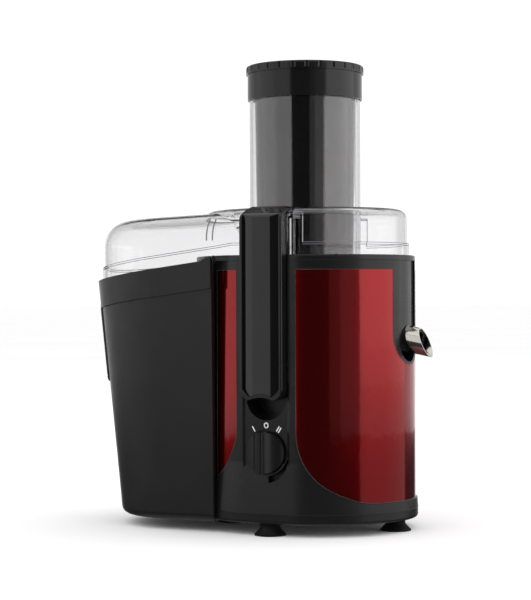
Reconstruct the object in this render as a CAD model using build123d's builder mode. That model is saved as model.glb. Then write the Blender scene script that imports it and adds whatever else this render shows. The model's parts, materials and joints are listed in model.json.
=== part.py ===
"""Centrifugal juicer: every piece at its place in the assembled machine, in millimetres, +Z up.

The motor axis is vertical. The spout points to +X, the pulp container hangs on the -X end, and the
control strip with the knob and the front clamp faces -Y.
"""
from build123d import *
import os
from math import cos, radians, sin, tan

os.makedirs("parts", exist_ok=True)

# --- Driving dimensions ---------------------------------------------------------------------------
# The frame's origin is the middle of the footprint on the table; the motor axis stands beside it.
AXIS_X = 39.08
AXIS_Y = 2.4

# Heights above the table.
FOOT_TOP = 10.0
TRAY_TOP = 18.5
HOUSING_TOP = 125.4
DECK_BOTTOM = 138.0
DECK_TOP = 141.0
BOWL_BOTTOM = 149.5
PANEL_TOP = 218.0
FRAME_TOP = 225.5
RIM_TOP = 230.0
LEDGE = 240.0
LID_TOP = 269.0
SKIRT_BOTTOM = 363.0
CAP_SEAT = 385.0
CAP_TOP = 392.0

# The body's plan: an ellipse whose front and back are cut flat for the control strip.
BODY_A = 95.0
BODY_B = 81.0
BODY_FLAT = 78.2
PLAN_ROUND = 60.0
PANEL_DEPTH = 2.4
SHELL = 4.6
TRAY_LIP = 2.0
PANEL_LEFT = 50.0
RECESS_LEFT = 54.0
PANEL_GAP = 0.25
LEG_BOTTOM = 203.0

# Clamps: a lever hinged near its lower end, lying in a channel front and rear. The control strip,
# the clamps and the knob share a centre line that stands a little to the container's side.
STRIP_X = -1.7
STRIP = 26.4
CLAMP_HALF = 19.1
CLAMP_BACK = 69.0
CLAMP_FRONT = 88.0
CROWN_RADIUS = 52.0
CLAMP_BOTTOM = 111.4
HOOK_TOP = 270.0
HOOK_UNDER = 262.5
HOOK_TIP = 60.0
PIN_OUT = 75.0
PIN_Z = 140.0
PIN_RADIUS = 1.8
CHANNEL_HALF = 19.9
CHANNEL_FLOOR = 68.3
POCKET_FLOOR = 54.0
POCKET_TOP = 144.0
POCKET_RADIUS = 17.8
POCKET_CENTRE = 112.3
WALL = 2.3

# Knob on the control strip.
KNOB_Z = 68.5
KNOB_RADIUS = 17.0
KNOB_BACK = 74.6
KNOB_FRONT = 92.8
KNOB_FACE = 80.0
DISH_HALF = 21.5
DISH_CENTRE = 63.3
DISH_DEPTH = 1.5
DISH_EDGE = 2.6
WELL_RADIUS = 18.2
WELL_FLOOR = 74.2

# Spout.
SLOT_HALF = 18.4
SLOT_CENTRE = 159.5
APRON_HALF = 18.0
APRON_BOTTOM = 150.0
BORDER_HALF = 26.0
BORDER_CENTRE = 165.0
SPOUT_X = 95.0
SPOUT_Z = 160.0
SPOUT_SLOPE = 12.0
SLEEVE_RADIUS = 11.0
NECK_RADIUS = 10.0
NECK_BORE = 8.2

# Pulp container: it slides off along its sloping rim.
RIM_SLOPE = 7.3
RIM_X = -85.0
RIM_Z = 222.0
CONTAINER_BOTTOM = 8.6
CONTAINER_MOUTH = -51.0
CONTAINER_WALL = 2.4
HUG_GAP = 3.0
BAND_HEIGHT = 23.3
LOFT_TOP = 236.0

# Bowl, basket, feed tube and pusher.
BOWL_A = 86.0
BOWL_B = 65.4
BOWL_WALL = 2.0
TUBE_RADIUS = 47.3
TUBE_BORE = 44.8
TUBE_BOTTOM = 181.5
TUBE_TOP = 384.0
BASKET_FOOT = 49.0
BASKET_MOUTH = 58.5
BASKET_BOTTOM = 172.0
BASKET_TOP = 224.0
SHAFT_RADIUS = 4.0
RUNNING = 0.05

FRONT = -1
REAR = 1


# --- Planes and shared shapes ---------------------------------------------------------------------
def level(height):
    """Horizontal plane at a height, centred on the motor axis."""
    return Plane(origin=(AXIS_X, AXIS_Y, height))


def facing(side, out=0.0):
    """Vertical plane at a distance out from the axis, seen from the front or the rear."""
    return Plane(origin=(AXIS_X, AXIS_Y + side * out, 0), x_dir=(-side, 0, 0), z_dir=(0, side, 0))


def strip_face(side, out=0.0):
    """The same vertical plane, centred on the control strip."""
    return Plane(origin=(AXIS_X + STRIP_X, AXIS_Y + side * out, 0), x_dir=(-side, 0, 0), z_dir=(0, side, 0))


def profile(side):
    """Vertical plane in the middle of the strip whose local x points out to the front or the rear."""
    return Plane(origin=(AXIS_X + STRIP_X, AXIS_Y, 0), x_dir=(0, side, 0), z_dir=(side, 0, 0))


def spoutward(distance=0.0):
    """Vertical plane facing the spout, at a distance from the axis: local x is +Y, local y is up."""
    return Plane(origin=(AXIS_X + distance, AXIS_Y, 0), x_dir=(0, 1, 0), z_dir=(1, 0, 0))


def rim_height(x):
    """Height of the container's sloping rim at a distance x from the motor axis."""
    return RIM_Z + (x - RIM_X) * tan(radians(RIM_SLOPE))


def oval(inset, height):
    """The body's plan at a height, inset all round, with the ends of its flats rounded."""
    with BuildSketch(level(height)) as plan:
        Ellipse(BODY_A - inset, BODY_B - inset)
        Rectangle(3 * BODY_A, 2 * (BODY_FLAT - inset), mode=Mode.INTERSECT)
        fillet(plan.vertices().filter_by(lambda corner: abs(corner.Y - AXIS_Y) > BODY_B / 2), PLAN_ROUND)
    return plan.sketch


def oval_prism(inset, bottom, top, mode=Mode.ADD):
    """Prism on the body's plan, inset all round, between two heights."""
    extrude(oval(inset, bottom), amount=top - bottom, mode=mode)


def ellipse_prism(half_length, half_width, bottom, top, mode=Mode.ADD):
    """Elliptical prism on the motor axis between two heights."""
    with BuildSketch(level(bottom)) as ellipse:
        Ellipse(half_length, half_width)
    extrude(ellipse.sketch, amount=top - bottom, mode=mode)


def disc(radius, bottom, top, mode=Mode.ADD, places=((0, 0),)):
    """Round prisms between two heights, at places measured from the motor axis."""
    with BuildSketch(level(bottom)) as circles:
        with Locations(*places):
            Circle(radius)
    extrude(circles.sketch, amount=top - bottom, mode=mode)


def block(x_low, x_high, y_low, y_high, bottom, top, mode=Mode.ADD):
    """Rectangular block between limits measured from the motor axis."""
    with BuildSketch(level(bottom)) as face:
        with Locations(((x_low + x_high) / 2, (y_low + y_high) / 2)):
            Rectangle(x_high - x_low, y_high - y_low)
    extrude(face.sketch, amount=top - bottom, mode=mode)


def side_block(half_width, inner, outer, bottom, top, mode=Mode.ADD, sides=(FRONT, REAR)):
    """Block on the strip's centre line, at the front and the rear, between two distances out."""
    for side in sides:
        low, high = sorted((side * inner, side * outer))
        block(STRIP_X - half_width, STRIP_X + half_width, low, high, bottom, top, mode)


def cut_clamp_bay(bottom, top):
    """Cut the channel that a clamp lies in, and the deeper pocket that its heel swings into."""
    for side in (FRONT, REAR):
        with BuildSketch(strip_face(side, POCKET_FLOOR)) as pocket:
            with Locations((0, (POCKET_CENTRE + POCKET_TOP) / 2)):
                Rectangle(2 * CHANNEL_HALF, POCKET_TOP - POCKET_CENTRE)
            with Locations((0, POCKET_CENTRE)):
                Circle(POCKET_RADIUS)
        extrude(pocket.sketch, amount=BODY_B, mode=Mode.SUBTRACT)
    side_block(CHANNEL_HALF, CHANNEL_FLOOR, 1.2 * BODY_B, max(bottom, POCKET_CENTRE), top, Mode.SUBTRACT)


# --- Red panels: skins let into the black housing -----------------------------------------------
STRIP_RIGHT = STRIP_X + STRIP
STRIP_LEFT = STRIP - STRIP_X
SPOUT_SHOULDER = ((STRIP_RIGHT, 86.0), (30.3, 60.7), (46.7, 40.6), (66.6, 29.7), (90.0, 26.2))
LEFT_SHOULDER = ((STRIP_LEFT, 86.0), (33.2, 67.5), (41.2, 54.6), (RECESS_LEFT, 42.5))


def panel_zone(inset):
    """Area of the side view that the panels cover, with the housing's upswept shoulders below it."""
    with BuildSketch(facing(FRONT, 0)) as zone:
        with BuildLine():
            points = [(x + inset, z + inset) for x, z in SPOUT_SHOULDER]
            shoulder = Spline(points, tangents=((0, -1), (1, 0)))
            Polyline(shoulder @ 1, (1.2 * BODY_A, 26.2 + inset), (1.2 * BODY_A, PANEL_TOP - inset),
                     (STRIP_RIGHT + inset, PANEL_TOP - inset), shoulder @ 0)
        make_face()
        with BuildLine():
            points = [(-x - inset, z + inset) for x, z in LEFT_SHOULDER]
            shoulder = Spline(points, tangents=((0, -1), (-1, -1)))
            Polyline(shoulder @ 1, (-RECESS_LEFT - inset, PANEL_TOP - inset),
                     (-STRIP_LEFT - inset, PANEL_TOP - inset), shoulder @ 0)
        make_face()
    return zone.sketch


with BuildPart() as panel_recess:
    oval_prism(-3.0, TRAY_TOP, PANEL_TOP)
    oval_prism(PANEL_DEPTH, TRAY_TOP, PANEL_TOP, Mode.SUBTRACT)
    extrude(panel_zone(0), amount=BODY_B, both=True, mode=Mode.INTERSECT)

with BuildPart() as spout_border:
    with BuildSketch(spoutward(0.5 * BODY_A)) as border_face:
        with Locations((0, (BORDER_CENTRE + FRAME_TOP) / 2)):
            Rectangle(2 * BORDER_HALF, FRAME_TOP - BORDER_CENTRE)
        with Locations((0, BORDER_CENTRE)):
            Circle(BORDER_HALF)
    extrude(amount=BODY_A)

with BuildPart() as panels:
    oval_prism(0, TRAY_TOP, PANEL_TOP)
    oval_prism(PANEL_DEPTH, TRAY_TOP, PANEL_TOP, Mode.SUBTRACT)
    extrude(panel_zone(PANEL_GAP), amount=BODY_B, both=True, mode=Mode.INTERSECT)
    add(spout_border.part, mode=Mode.SUBTRACT)

PANEL_BOXES = {
    "front_left_panel": (-PANEL_LEFT, 0, -BODY_B, 0),
    "rear_left_panel": (-PANEL_LEFT, 0, 0, BODY_B),
    "spout_side_panel": (0, 1.1 * BODY_A, -BODY_B, BODY_B),
}
for name, limits in PANEL_BOXES.items():
    with BuildPart() as panel:
        add(panels.part)
        block(*limits, TRAY_TOP, PANEL_TOP, Mode.INTERSECT)
    panel.part.label = name
    export_step(panel.part, f"parts/{name}.step")

# --- Base tray with its vents, and the shelf that carries the container -------------------------
SCREW_PLACES = ((66.5, 47), (66.5, -47), (-66.5, 47), (-66.5, -47))
FOOT_PLACES = {"front": (-1.5, -70), "rear": (-1.5, 70), "spout_end": (81.5, 0), "container_end": (-70, 0)}
SHELF_END = -111.0
SHELF_HALF = 27.0
SHELF_DROP = 205.6

with BuildPart() as base_tray:
    oval_prism(-TRAY_LIP, FOOT_TOP, TRAY_TOP)
    fillet(base_tray.faces().sort_by(Axis.Z)[0].edges(), 2.5)
    oval_prism(SHELL - 1.0, FOOT_TOP + 3.0, TRAY_TOP, Mode.SUBTRACT)
    disc(1.8, FOOT_TOP - 1, TRAY_TOP, Mode.SUBTRACT, SCREW_PLACES)
    disc(3.4, FOOT_TOP - 1, FOOT_TOP + 2.0, Mode.SUBTRACT, SCREW_PLACES)
    disc(4.0, FOOT_TOP - 1, TRAY_TOP, Mode.SUBTRACT, tuple(FOOT_PLACES.values()))
    with BuildSketch(level(FOOT_TOP - 1)) as vents:
        with PolarLocations(30, 16):
            SlotOverall(22, 3.2)
    extrude(amount=6, mode=Mode.SUBTRACT)
    with BuildSketch(facing(FRONT)) as shelf_face:
        with BuildLine():
            Polyline((-93, FOOT_TOP + 0.6), (SHELF_END, FOOT_TOP + 0.6),
                     (SHELF_END, rim_height(SHELF_END) - SHELF_DROP), (-93, rim_height(-93) - SHELF_DROP),
                     close=True)
        make_face()
    extrude(amount=SHELF_HALF, both=True)
base_tray.part.label = "base_tray"
export_step(base_tray.part, "parts/base_tray.step")

for place, (foot_x, foot_y) in FOOT_PLACES.items():
    with BuildPart() as foot:
        foot_centre = (AXIS_X + foot_x, AXIS_Y + foot_y, 0)
        with BuildSketch(Plane(origin=foot_centre, x_dir=(1, 0, 0), z_dir=(0, -1, 0))):
            with BuildLine():
                Polyline((0, 4.0), (7.0, 3.2), (11.0, 0), (13.0, 0), (13.0, 1.4))
                Spline((13.0, 1.4), (10.0, 4.2), (8.2, FOOT_TOP - 2.5), tangents=((-1, 0.6), (0, 1)))
                Polyline((8.2, FOOT_TOP - 2.5), (8.8, FOOT_TOP), (4.0, FOOT_TOP), (4.0, FOOT_TOP + 4),
                         (0, FOOT_TOP + 4), (0, 4.0))
            make_face()
        revolve(axis=Axis(foot_centre, (0, 0, 1)))
    foot.part.label = f"suction_foot_{place}"
    export_step(foot.part, f"parts/suction_foot_{place}.step")

with BuildPart() as base_screws:
    disc(1.7, FOOT_TOP + 2.0, 34.0, places=SCREW_PLACES)
    disc(3.2, FOOT_TOP + 0.6, FOOT_TOP + 2.0, places=SCREW_PLACES)
base_screws.part.label = "base_screws"
export_step(base_screws.part, "parts/base_screws.step")

# --- Base housing: shoulders, control strip, finger pockets ---------------------------------------
CORD_Z = 34.0
FLARE_TOP = 60.0

with BuildPart() as base_housing:
    oval_prism(0, FLARE_TOP, HOUSING_TOP)
    loft(sections=[oval(-TRAY_LIP, TRAY_TOP), oval(0, FLARE_TOP)])
    add(panel_recess.part, mode=Mode.SUBTRACT)
    oval_prism(SHELL, TRAY_TOP, HOUSING_TOP, Mode.SUBTRACT)
    side_block(CHANNEL_HALF + WALL, POCKET_FLOOR - WALL, BODY_FLAT - 1, 93.0, HOUSING_TOP)
    side_block(23.0, WELL_FLOOR - 3.0, BODY_FLAT - 3, 44.0, 93.0, sides=(FRONT,))
    disc(4.5, TRAY_TOP, 42.0, places=SCREW_PLACES)
    disc(1.7, TRAY_TOP, 38.0, Mode.SUBTRACT, SCREW_PLACES)
    cut_clamp_bay(90.0, HOUSING_TOP)
    for out, half in ((BODY_FLAT - DISH_DEPTH, DISH_HALF - DISH_EDGE), (BODY_FLAT + 0.01, DISH_HALF)):
        with BuildSketch(strip_face(FRONT, out)):
            with Locations((0, (DISH_CENTRE + HOUSING_TOP) / 2 + 5)):
                Rectangle(2 * half, HOUSING_TOP - DISH_CENTRE + 10)
            with Locations((0, DISH_CENTRE)):
                Circle(half)
    loft(mode=Mode.SUBTRACT)
    with BuildSketch(strip_face(FRONT, WELL_FLOOR)) as well:
        with Locations((0, KNOB_Z)):
            Circle(WELL_RADIUS)
    extrude(amount=BODY_B, mode=Mode.SUBTRACT)
    with BuildSketch(strip_face(FRONT, WELL_FLOOR - 1.5)) as crescent:
        with Locations((0.4, DISH_CENTRE)):
            Circle(DISH_HALF - 1.7)
        with Locations((0, KNOB_Z)):
            Circle(WELL_RADIUS + 1.2, mode=Mode.SUBTRACT)
        with BuildLine():
            Polyline((0, KNOB_Z), (6, KNOB_Z - 50), (50, KNOB_Z - 50), (50, KNOB_Z - 14), close=True)
        make_face(mode=Mode.INTERSECT)
    extrude(amount=8, mode=Mode.SUBTRACT)
    with BuildSketch(strip_face(FRONT, 60)) as shaft_hole:
        with Locations((0, KNOB_Z)):
            Circle(3.6)
    extrude(amount=20, mode=Mode.SUBTRACT)
    with BuildSketch(facing(REAR, 60)) as cord_hole:
        with Locations((0, CORD_Z)):
            Circle(6.0)
    extrude(amount=30, mode=Mode.SUBTRACT)
    with BuildSketch(facing(REAR, BODY_FLAT)) as cord_seat:
        with Locations((0, CORD_Z)):
            Circle(8.3)
    extrude(amount=5, mode=Mode.SUBTRACT)
base_housing.part.label = "base_housing"
export_step(base_housing.part, "parts/base_housing.step")

with BuildPart() as cord_grommet:
    for grommet_radius, inner, outer in ((8.0, BODY_FLAT, 80.4), (6.0, 73.6, BODY_FLAT), (7.5, 71.4, 73.6)):
        with BuildSketch(facing(REAR, inner)) as ring:
            with Locations((0, CORD_Z)):
                Circle(grommet_radius)
                Circle(3.6, mode=Mode.SUBTRACT)
        extrude(amount=outer - inner)
cord_grommet.part.label = "cord_grommet"
export_step(cord_grommet.part, "parts/cord_grommet.step")

# --- Upper frame: ring, deck, clamp channels and the slot for the spout ---------------------------
with BuildPart() as frame_recess:
    add(panel_recess.part)
    add(spout_border.part, mode=Mode.SUBTRACT)
    block(-RECESS_LEFT + 1, -PANEL_LEFT - 0.4, -BODY_B, BODY_B, LEG_BOTTOM, PANEL_TOP, Mode.SUBTRACT)

with BuildPart() as upper_frame:
    oval_prism(0, HOUSING_TOP, FRAME_TOP)
    add(frame_recess.part, mode=Mode.SUBTRACT)
    oval_prism(SHELL, HOUSING_TOP, FRAME_TOP, Mode.SUBTRACT)
    oval_prism(SHELL - 0.5, DECK_BOTTOM, DECK_TOP)
    side_block(CHANNEL_HALF + WALL, CHANNEL_FLOOR - WALL, BODY_FLAT - 1, HOUSING_TOP, FRAME_TOP)
    side_block(CHANNEL_HALF + WALL, POCKET_FLOOR - WALL, BODY_FLAT - 1, HOUSING_TOP, POCKET_TOP + WALL)
    side_block(STRIP - 1.0, 70.0, BODY_FLAT - 1, PIN_Z - 6, PIN_Z + 6)
    cut_clamp_bay(HOUSING_TOP, FRAME_TOP)
    for side in (FRONT, REAR):
        with BuildSketch(spoutward(STRIP_X - STRIP + 1.4)) as pin_bore:
            with Locations((side * PIN_OUT, PIN_Z)):
                Circle(PIN_RADIUS)
        extrude(amount=2 * STRIP - 2.8, mode=Mode.SUBTRACT)
    disc(7.0, DECK_BOTTOM - 1, DECK_TOP + 1, Mode.SUBTRACT)
    with BuildSketch(spoutward(BODY_A - 9.0)) as slot:
        with Locations((0, (SLOT_CENTRE + FRAME_TOP) / 2)):
            Rectangle(2 * SLOT_HALF, FRAME_TOP - SLOT_CENTRE + 0.2)
        with Locations((0, SLOT_CENTRE)):
            Circle(SLOT_HALF)
    extrude(amount=20, mode=Mode.SUBTRACT)
upper_frame.part.label = "upper_frame"
export_step(upper_frame.part, "parts/upper_frame.step")

# --- Juice collector: bowl, rim, hub, apron and spout neck ----------------------------------------
HUB_RADIUS = 16.5
HUB_BORE = 14.3
HUB_TOP = 166.0
RIM_LEFT = -50.4
RIM_HALF = 75.0

spout_axis = Vector(cos(radians(SPOUT_SLOPE)), 0, -sin(radians(SPOUT_SLOPE)))
neck_plane = Plane(origin=Vector(AXIS_X + SPOUT_X, AXIS_Y, SPOUT_Z) - 12.0 * spout_axis, z_dir=spout_axis)

with BuildPart() as apron_keep:
    ellipse_prism(BOWL_A, BOWL_B, BOWL_BOTTOM, FRAME_TOP)
    with BuildSketch(spoutward(60)) as apron_face:
        with Locations((0, (SLOT_CENTRE + FRAME_TOP) / 2)):
            Rectangle(2 * APRON_HALF, FRAME_TOP - SLOT_CENTRE)
        with Locations((0, SLOT_CENTRE)):
            Circle(APRON_HALF)
        with Locations((0, APRON_BOTTOM - BODY_B)):
            Rectangle(2 * BODY_B, 2 * BODY_B, mode=Mode.SUBTRACT)
    extrude(apron_face.sketch, amount=40)
    block(-2 * BODY_A, 2 * BODY_A, -BODY_B, BODY_B, FRAME_TOP, RIM_TOP)

with BuildPart() as juice_collector:
    oval_prism(0, FRAME_TOP, RIM_TOP)
    fillet(juice_collector.faces().sort_by(Axis.Z)[-1].edges(), 1.6)
    block(RIM_LEFT, -20, -RIM_HALF, RIM_HALF, FRAME_TOP, RIM_TOP - 0.4)
    ellipse_prism(BOWL_A, BOWL_B, BOWL_BOTTOM, FRAME_TOP)
    oval_prism(2.0, 140.0, FRAME_TOP)
    oval_prism(4.4, 140.0, FRAME_TOP, Mode.SUBTRACT)
    add(apron_keep.part, mode=Mode.INTERSECT)
    ellipse_prism(BOWL_A, BOWL_B, BOWL_BOTTOM, FRAME_TOP)
    with BuildSketch(neck_plane):
        Circle(NECK_RADIUS)
    extrude(amount=20)
    ellipse_prism(BOWL_A - BOWL_WALL, BOWL_B - BOWL_WALL, BOWL_BOTTOM + 2.3, RIM_TOP + 1, Mode.SUBTRACT)
    disc(HUB_RADIUS, BOWL_BOTTOM, HUB_TOP)
    disc(HUB_BORE, BOWL_BOTTOM - 1, HUB_TOP + 1, Mode.SUBTRACT)
    with BuildSketch(neck_plane):
        Circle(NECK_BORE)
    extrude(amount=30, both=True, mode=Mode.SUBTRACT)
    side_block(CHANNEL_HALF, CHANNEL_FLOOR, 1.2 * BODY_B, FRAME_TOP - 1, RIM_TOP + 1, Mode.SUBTRACT)
juice_collector.part.label = "juice_collector"
export_step(juice_collector.part, "parts/juice_collector.step")

with BuildPart() as spout_sleeve:
    with BuildSketch(neck_plane):
        Circle(SLEEVE_RADIUS)
        Circle(NECK_RADIUS, mode=Mode.SUBTRACT)
    extrude(amount=40)
    with BuildSketch(facing(FRONT)) as sleeve_side:
        with BuildLine():
            Polyline((93.0, 173.5), (98.3, 146.0), (114.6, 142.4), (102.9, 172.0), close=True)
        make_face()
    extrude(sleeve_side.sketch, amount=20, both=True, mode=Mode.INTERSECT)
spout_sleeve.part.label = "spout_sleeve"
export_step(spout_sleeve.part, "parts/spout_sleeve.step")

# --- Lid: a round cover with a hood that reaches over the container -------------------------------
HOOD_CENTRE = -109.0
HOOD_A = 79.0
HOOD_B = 75.0
HOOD_STEP = 1.5
LID_WALL = 2.2
LID_GAP = 0.6
LEDGE_RISE = 11.2
PAD_HALF = 31.0
PAD_CORNER = 5.0
HOOD_FLOOR = 190.0
DOME_A = 88.0
DOME_B = 75.4
FLANGE_A = 90.0
FLANGE_B = 77.0


def hood_outline(inset):
    """Plan of the hood: straight sides from the axis and an elliptical far end."""
    half_width = HOOD_B - inset
    with BuildSketch(level(HOOD_FLOOR)) as outline:
        with BuildLine():
            EllipticalCenterArc((HOOD_CENTRE, 0), HOOD_A - inset, half_width, start_angle=90, arc_size=180)
            Polyline((HOOD_CENTRE, -half_width), (0, -half_width), (0, half_width),
                     (HOOD_CENTRE, half_width))
        make_face()
    return outline.sketch


def hood_side(points):
    """Area of the side view between the given points."""
    with BuildSketch(facing(FRONT)) as side_view:
        with BuildLine():
            Polyline(*points, close=True)
        make_face()
    return side_view.sketch


HOOD_FAR = -200.0
HOOD_TOP_NEAR = 268.0
HOOD_TOP_FAR = 260.6
HOOD_ROUND = 22.0


def hood_shell(inset, drop, floor):
    """Upper hood: its top slopes down away from the axis and its shoulders are rounded."""
    with BuildPart() as hood:
        extrude(hood_outline(HOOD_STEP + inset), amount=100)
        extrude(hood_side(((HOOD_FAR, floor), (0, floor), (0, HOOD_TOP_NEAR - drop),
                           (HOOD_FAR, HOOD_TOP_FAR - drop))),
                amount=BODY_B, both=True, mode=Mode.INTERSECT)
        shoulder_edges = hood.faces().sort_by(Axis.Z)[-1].edges().filter_by(
            lambda edge: edge.center().X < AXIS_X - 1)
        fillet(shoulder_edges, HOOD_ROUND - inset)
    return hood.part


with BuildPart() as lid_void:
    ellipse_prism(DOME_A - LID_WALL, DOME_B - LID_WALL, RIM_TOP - 1, LID_TOP - LID_WALL)
    fillet(lid_void.faces().sort_by(Axis.Z)[-1].edges(), 5.8)
    add(hood_shell(LID_WALL, LID_WALL, HOOD_FLOOR))
    side_block(CHANNEL_HALF + WALL, CHANNEL_FLOOR - WALL, BODY_B, RIM_TOP - 1, LID_TOP, Mode.SUBTRACT)
    side_block(CHANNEL_HALF + WALL, HOOK_TIP - 4.0, BODY_B, HOOK_UNDER - 3.0, LID_TOP, Mode.SUBTRACT)

with BuildPart() as flange:
    ellipse_prism(FLANGE_A, FLANGE_B, RIM_TOP, LID_TOP - 4.0)
    with BuildSketch(strip_face(FRONT)) as flange_face:
        with Locations((0, (RIM_TOP + LEDGE) / 2)):
            Rectangle(3 * BODY_A, LEDGE - RIM_TOP)
        with Locations((0, (RIM_TOP + LID_TOP) / 2)):
            Rectangle(2 * PAD_HALF, LID_TOP - RIM_TOP)
        inner_corners = flange_face.vertices().filter_by(
            lambda corner: abs(corner.Z - LEDGE) < 0.1 and abs(corner.X - AXIS_X - STRIP_X) < PAD_HALF + 1)
        fillet(inner_corners, PAD_CORNER)
    extrude(amount=BODY_B, both=True, mode=Mode.INTERSECT)

with BuildPart() as skirt:
    extrude(hood_outline(0), amount=100)
    extrude(hood_side(((HOOD_FAR, HOOD_FLOOR), (0, HOOD_FLOOR), (0, LEDGE), (-34, LEDGE),
                       (-48, rim_height(-48) + LEDGE_RISE), (HOOD_FAR, rim_height(HOOD_FAR) + LEDGE_RISE))),
            amount=BODY_B, both=True, mode=Mode.INTERSECT)

with BuildPart() as lid_cover:
    ellipse_prism(DOME_A, DOME_B, RIM_TOP, LID_TOP)
    fillet(lid_cover.faces().sort_by(Axis.Z)[-1].edges(), 8.0)
    add(flange.part)
    add(hood_shell(0, 0, HOOD_FLOOR))
    add(skirt.part)
    extrude(hood_side(((HOOD_FAR, 150), (60, 150), (60, RIM_TOP), (RIM_LEFT - 1, RIM_TOP),
                       (RIM_LEFT - 1, rim_height(RIM_LEFT - 1) + LID_GAP),
                       (HOOD_FAR, rim_height(HOOD_FAR) + LID_GAP))),
            amount=BODY_B, both=True, mode=Mode.SUBTRACT)
    add(lid_void.part, mode=Mode.SUBTRACT)
    disc(TUBE_RADIUS, LID_TOP - 10, LID_TOP + 2, Mode.SUBTRACT)
    side_block(CHANNEL_HALF, CHANNEL_FLOOR, 1.2 * BODY_B, RIM_TOP - 1, LID_TOP + 1, Mode.SUBTRACT)
    side_block(CHANNEL_HALF, HOOK_TIP - 1.5, 1.2 * BODY_B, HOOK_UNDER - 0.5, LID_TOP + 1, Mode.SUBTRACT)
lid_cover.part.label = "lid_cover"
export_step(lid_cover.part, "parts/lid_cover.step")

with BuildPart() as feed_tube:
    disc(TUBE_RADIUS, TUBE_BOTTOM, TUBE_TOP)
    disc(TUBE_RADIUS + 2.0, LID_TOP, LID_TOP + 1.6)
    disc(TUBE_BORE, TUBE_BOTTOM - 1, TUBE_TOP + 1, Mode.SUBTRACT)
feed_tube.part.label = "feed_tube"
export_step(feed_tube.part, "parts/feed_tube.step")

# --- Pusher ---------------------------------------------------------------------------------------
PUSHER_BOTTOM = 184.0
PUSHER_TOP_RADIUS = 43.0
PUSHER_TIP_RADIUS = 40.5
CAP_RADIUS = 48.9
CAP_BORE = 47.6
GRIP_RADIUS = 50.3
GRIP_SCALLOPS = 28

with BuildPart() as pusher_body:
    with BuildSketch(level(PUSHER_BOTTOM)):
        Circle(PUSHER_TIP_RADIUS)
    with BuildSketch(level(CAP_SEAT)):
        Circle(PUSHER_TOP_RADIUS)
    loft()
    fillet(pusher_body.faces().sort_by(Axis.Z)[0].edges(), 3.0)
    with BuildSketch(level(PUSHER_BOTTOM + 3.0)):
        Circle(PUSHER_TIP_RADIUS - 2.6)
    with BuildSketch(level(CAP_SEAT + 1.0)):
        Circle(PUSHER_TOP_RADIUS - 2.6)
    loft(mode=Mode.SUBTRACT)
pusher_body.part.label = "pusher_body"
export_step(pusher_body.part, "parts/pusher_body.step")

with BuildPart() as pusher_cap:
    disc(CAP_RADIUS, SKIRT_BOTTOM, CAP_SEAT)
    disc(CAP_BORE, SKIRT_BOTTOM - 1, CAP_SEAT, Mode.SUBTRACT)
    disc(GRIP_RADIUS, CAP_SEAT, CAP_TOP)
    fillet(pusher_cap.faces().sort_by(Axis.Z)[-1].edges(), 2.2)
    with BuildSketch(level(CAP_SEAT + 1.2)):
        with PolarLocations(GRIP_RADIUS + 2.2, GRIP_SCALLOPS):
            Circle(3.0)
    extrude(amount=10, mode=Mode.SUBTRACT)
    disc(PUSHER_TOP_RADIUS - 2.8, CAP_SEAT - 6, CAP_SEAT)
    disc(PUSHER_TOP_RADIUS - 5.0, CAP_SEAT - 6, CAP_SEAT, Mode.SUBTRACT)
pusher_cap.part.label = "pusher_cap"
export_step(pusher_cap.part, "parts/pusher_cap.step")

# --- Clamps ---------------------------------------------------------------------------------------
COVER_DEPTH = 2.6
COVER_BACK = 70.6
BORDER = 2.6
TOP_CORNER = 6.0
COVER_GAP = 0.3
HEEL_POINT = 10.5
HEEL_TOP = 120.5
SLOPE_TOP = 269.3
SLOPE_START = 71.0
SLOPE_FALL = 0.4385


def clamp_outline(inset):
    """Front view of a clamp: rounded corners, straight sides and an arched lower edge."""
    half = CLAMP_HALF - inset
    heel = CLAMP_BOTTOM + inset
    point = HEEL_POINT - 0.3 * inset
    top = HOOK_TOP + 0.2 - inset
    corner = TOP_CORNER * (1 - cos(radians(45)))
    with BuildLine() as outline:
        Line((-half, HEEL_TOP), (-half, top - TOP_CORNER))
        ThreePointArc((-half, top - TOP_CORNER), (corner - half, top - corner), (TOP_CORNER - half, top))
        Line((TOP_CORNER - half, top), (half - TOP_CORNER, top))
        ThreePointArc((half - TOP_CORNER, top), (half - corner, top - corner), (half, top - TOP_CORNER))
        Line((half, top - TOP_CORNER), (half, HEEL_TOP))
        ThreePointArc((half, HEEL_TOP), (half - 2.7, heel + 3.2), (point, heel))
        ThreePointArc((point, heel), (0, heel + 2.2), (-point, heel))
        ThreePointArc((-point, heel), (2.7 - half, heel + 3.2), (-half, HEEL_TOP))
    return outline.line


def clamp_side(inset):
    """Side view of a clamp: upright front, rounded shoulder and sloping top, all moved in by an inset."""
    front = CLAMP_FRONT - inset
    shoulder = SLOPE_TOP - SLOPE_FALL * (front - 4.0 - SLOPE_START) - 1.1 * inset
    top = HOOK_TOP - inset
    with BuildLine() as outline:
        Polyline((CLAMP_BACK, CLAMP_BOTTOM - 1), (front, CLAMP_BOTTOM - 1), (front, shoulder - 5.6))
        ThreePointArc((front, shoulder - 5.6), (front - 1.2, shoulder - 2.2), (front - 4.0, shoulder))
        Polyline((front - 4.0, shoulder), (SLOPE_START, top - 0.7))
        ThreePointArc((SLOPE_START, top - 0.7), (69.2, top - 0.15), (67.5, top))
        Polyline((67.5, top), (HOOK_TIP, top - 0.6), (HOOK_TIP, HOOK_UNDER), (CLAMP_BACK, HOOK_UNDER),
                 (CLAMP_BACK, CLAMP_BOTTOM - 1))
    return outline.line


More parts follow.
